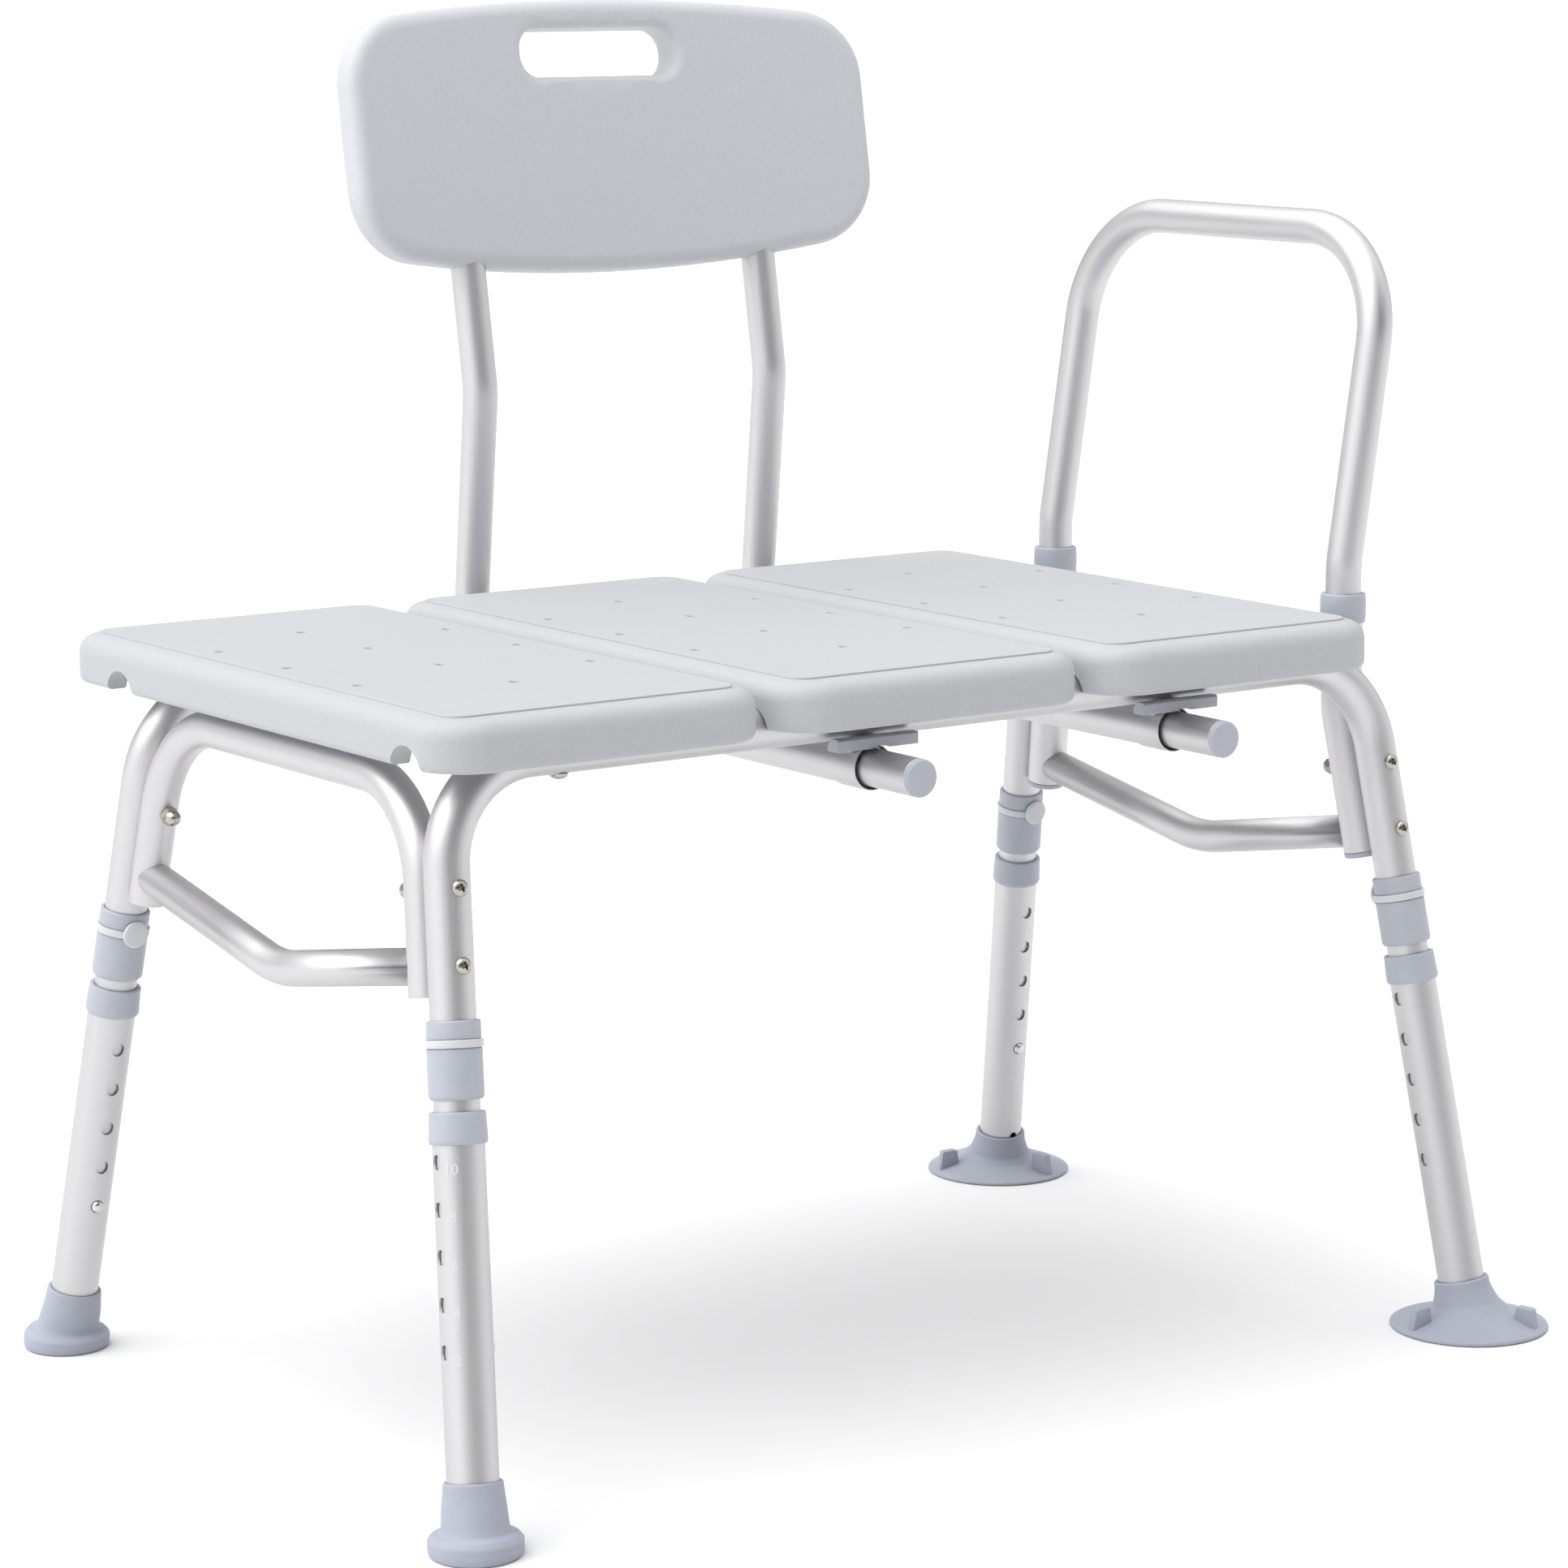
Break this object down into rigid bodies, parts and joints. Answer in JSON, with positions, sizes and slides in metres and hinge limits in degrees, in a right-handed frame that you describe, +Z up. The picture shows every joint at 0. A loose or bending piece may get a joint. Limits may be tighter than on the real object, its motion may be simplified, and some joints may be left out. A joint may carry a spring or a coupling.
{
  "type": "bath transfer bench",
  "caption": "Bath transfer bench with a panelled seat on a splayed tube frame, pull-out backrest, lift-out armrest and telescopic legs with rubber tips and suction cups.",
  "frame": {"origin": "on the floor, under the centre of the bench's bounding box", "axes": "+Z up, +X towards the armrest end that stands in the tub, -Y towards the front edge of the seat, so the backrest is at +Y"},
  "size_m": [0.8018, 0.5912, 0.8124],
  "materials": {
    "satin_aluminium": "satin anodised",
    "seat_plastic": "fine grained blow-moulded plastic",
    "back_plastic": "fine grained blow-moulded plastic",
    "grey_plastic": "smooth moulded plastic",
    "grey_rubber": "soft matte rubber",
    "dark_plastic": "smooth moulded plastic",
    "clear_plastic": "milky translucent nylon",
    "nickel": "nickel-plated steel",
    "spring_steel": "bare spring steel"
  },
  "bodies": {
    "frame": {"front_frame_tube": "satin_aluminium", "rear_frame_tube": "satin_aluminium", "left_end_tube": "satin_aluminium", "left_brace": "satin_aluminium", "right_brace": "satin_aluminium", "right_post_front": "satin_aluminium", "right_post_rear": "satin_aluminium", "backrest_sleeve_left": "satin_aluminium", "backrest_sleeve_right": "satin_aluminium", "leg_collar_front_left": "grey_plastic", "collar_clip_front_left": "clear_plastic", "bolt_upper_front_left": "nickel", "bolt_lower_front_left": "nickel", "leg_collar_front_right": "grey_plastic", "collar_clip_front_right": "clear_plastic", "bolt_upper_front_right": "nickel", "bolt_lower_front_right": "nickel", "leg_collar_rear_left": "grey_plastic", "collar_clip_rear_left": "clear_plastic", "bolt_upper_rear_left": "nickel", "bolt_lower_rear_left": "nickel", "leg_collar_rear_right": "grey_plastic", "collar_clip_rear_right": "clear_plastic", "bolt_upper_rear_right": "nickel", "bolt_lower_rear_right": "nickel", "seat_panel_left": "seat_plastic", "seat_panel_middle": "seat_plastic", "seat_panel_right": "seat_plastic", "post_cap_front": "dark_plastic", "armrest_collar_front": "grey_plastic", "post_cap_rear": "dark_plastic", "armrest_collar_rear": "grey_plastic"},
    "leg_front_left": {"leg_tube_front_left": "satin_aluminium", "leg_ring_front_left": "grey_plastic", "rubber_tip_front_left": "grey_rubber"},
    "leg_front_right": {"leg_tube_front_right": "satin_aluminium", "leg_ring_front_right": "grey_plastic", "suction_cup_front_right": "grey_rubber"},
    "leg_rear_left": {"leg_tube_rear_left": "satin_aluminium", "leg_ring_rear_left": "grey_plastic", "rubber_tip_rear_left": "grey_rubber"},
    "leg_rear_right": {"leg_tube_rear_right": "satin_aluminium", "leg_ring_rear_right": "grey_plastic", "suction_cup_rear_right": "grey_rubber"},
    "snap_front_left": {"snap_clip_front_left": "spring_steel"},
    "snap_front_right": {"snap_clip_front_right": "spring_steel"},
    "snap_rear_left": {"snap_clip_rear_left": "spring_steel"},
    "snap_rear_right": {"snap_clip_rear_right": "spring_steel"},
    "armrest": {"armrest_tube": "satin_aluminium"},
    "backrest": {"backrest_tube_left": "satin_aluminium", "backrest_tube_right": "satin_aluminium", "backrest_tube_cap_left": "dark_plastic", "backrest_tube_cap_right": "dark_plastic", "backrest_panel": "back_plastic"},
    "release_left": {"release_leaf_left": "spring_steel", "release_bar_left": "dark_plastic"},
    "release_right": {"release_leaf_right": "spring_steel", "release_bar_right": "dark_plastic"}
  },
  "joints": [
    {"name": "leg_slide_front_left", "type": "slide", "parent": "frame", "child": "leg_front_left", "axis": [-0.076, -0.1791, -0.9809], "range_m": [0, 0.1016], "deforming": ["snap_clip_front_left"]},
    {"name": "leg_slide_front_right", "type": "slide", "parent": "frame", "child": "leg_front_right", "axis": [0.076, -0.1791, -0.9809], "range_m": [0, 0.1016], "deforming": ["snap_clip_front_right"]},
    {"name": "leg_slide_rear_left", "type": "slide", "parent": "frame", "child": "leg_rear_left", "axis": [-0.076, 0.1791, -0.9809], "range_m": [0, 0.1016], "deforming": ["snap_clip_rear_left"]},
    {"name": "leg_slide_rear_right", "type": "slide", "parent": "frame", "child": "leg_rear_right", "axis": [0.076, 0.1791, -0.9809], "range_m": [0, 0.1016], "deforming": ["snap_clip_rear_right"]},
    {"name": "snap_press_front_left", "type": "slide", "parent": "frame", "child": "snap_front_left", "axis": [-0.997, 0, 0.0773], "range_m": [0, 0.004], "stiffness_N_per_m": 2500},
    {"name": "snap_press_front_right", "type": "slide", "parent": "frame", "child": "snap_front_right", "axis": [-0.997, 0, -0.0773], "range_m": [0, 0.004], "stiffness_N_per_m": 2500},
    {"name": "snap_press_rear_left", "type": "slide", "parent": "frame", "child": "snap_rear_left", "axis": [0.0138, 0.9838, 0.1786], "range_m": [0, 0.004], "stiffness_N_per_m": 2500},
    {"name": "snap_press_rear_right", "type": "slide", "parent": "frame", "child": "snap_rear_right", "axis": [-0.0138, 0.9838, 0.1786], "range_m": [0, 0.004], "stiffness_N_per_m": 2500},
    {"name": "armrest_lift", "type": "slide", "parent": "frame", "child": "armrest", "axis": [0, 0, 1], "range_m": [0, 0.075]},
    {"name": "backrest_slide", "type": "slide", "parent": "frame", "child": "backrest", "axis": [0, 1, 0], "range_m": [0, 0.46]},
    {"name": "release_lift_left", "type": "hinge", "parent": "frame", "child": "release_left", "pos_m": [-0.0626, -0.12038, 0.3995], "axis": [-1, 0, 0], "range_deg": [0, 1.9], "stiffness_Nm_per_rad": 20},
    {"name": "release_lift_right", "type": "hinge", "parent": "frame", "child": "release_right", "pos_m": [0.1614, -0.12038, 0.3995], "axis": [-1, 0, 0], "range_deg": [0, 1.9], "stiffness_Nm_per_rad": 20}
  ]
}
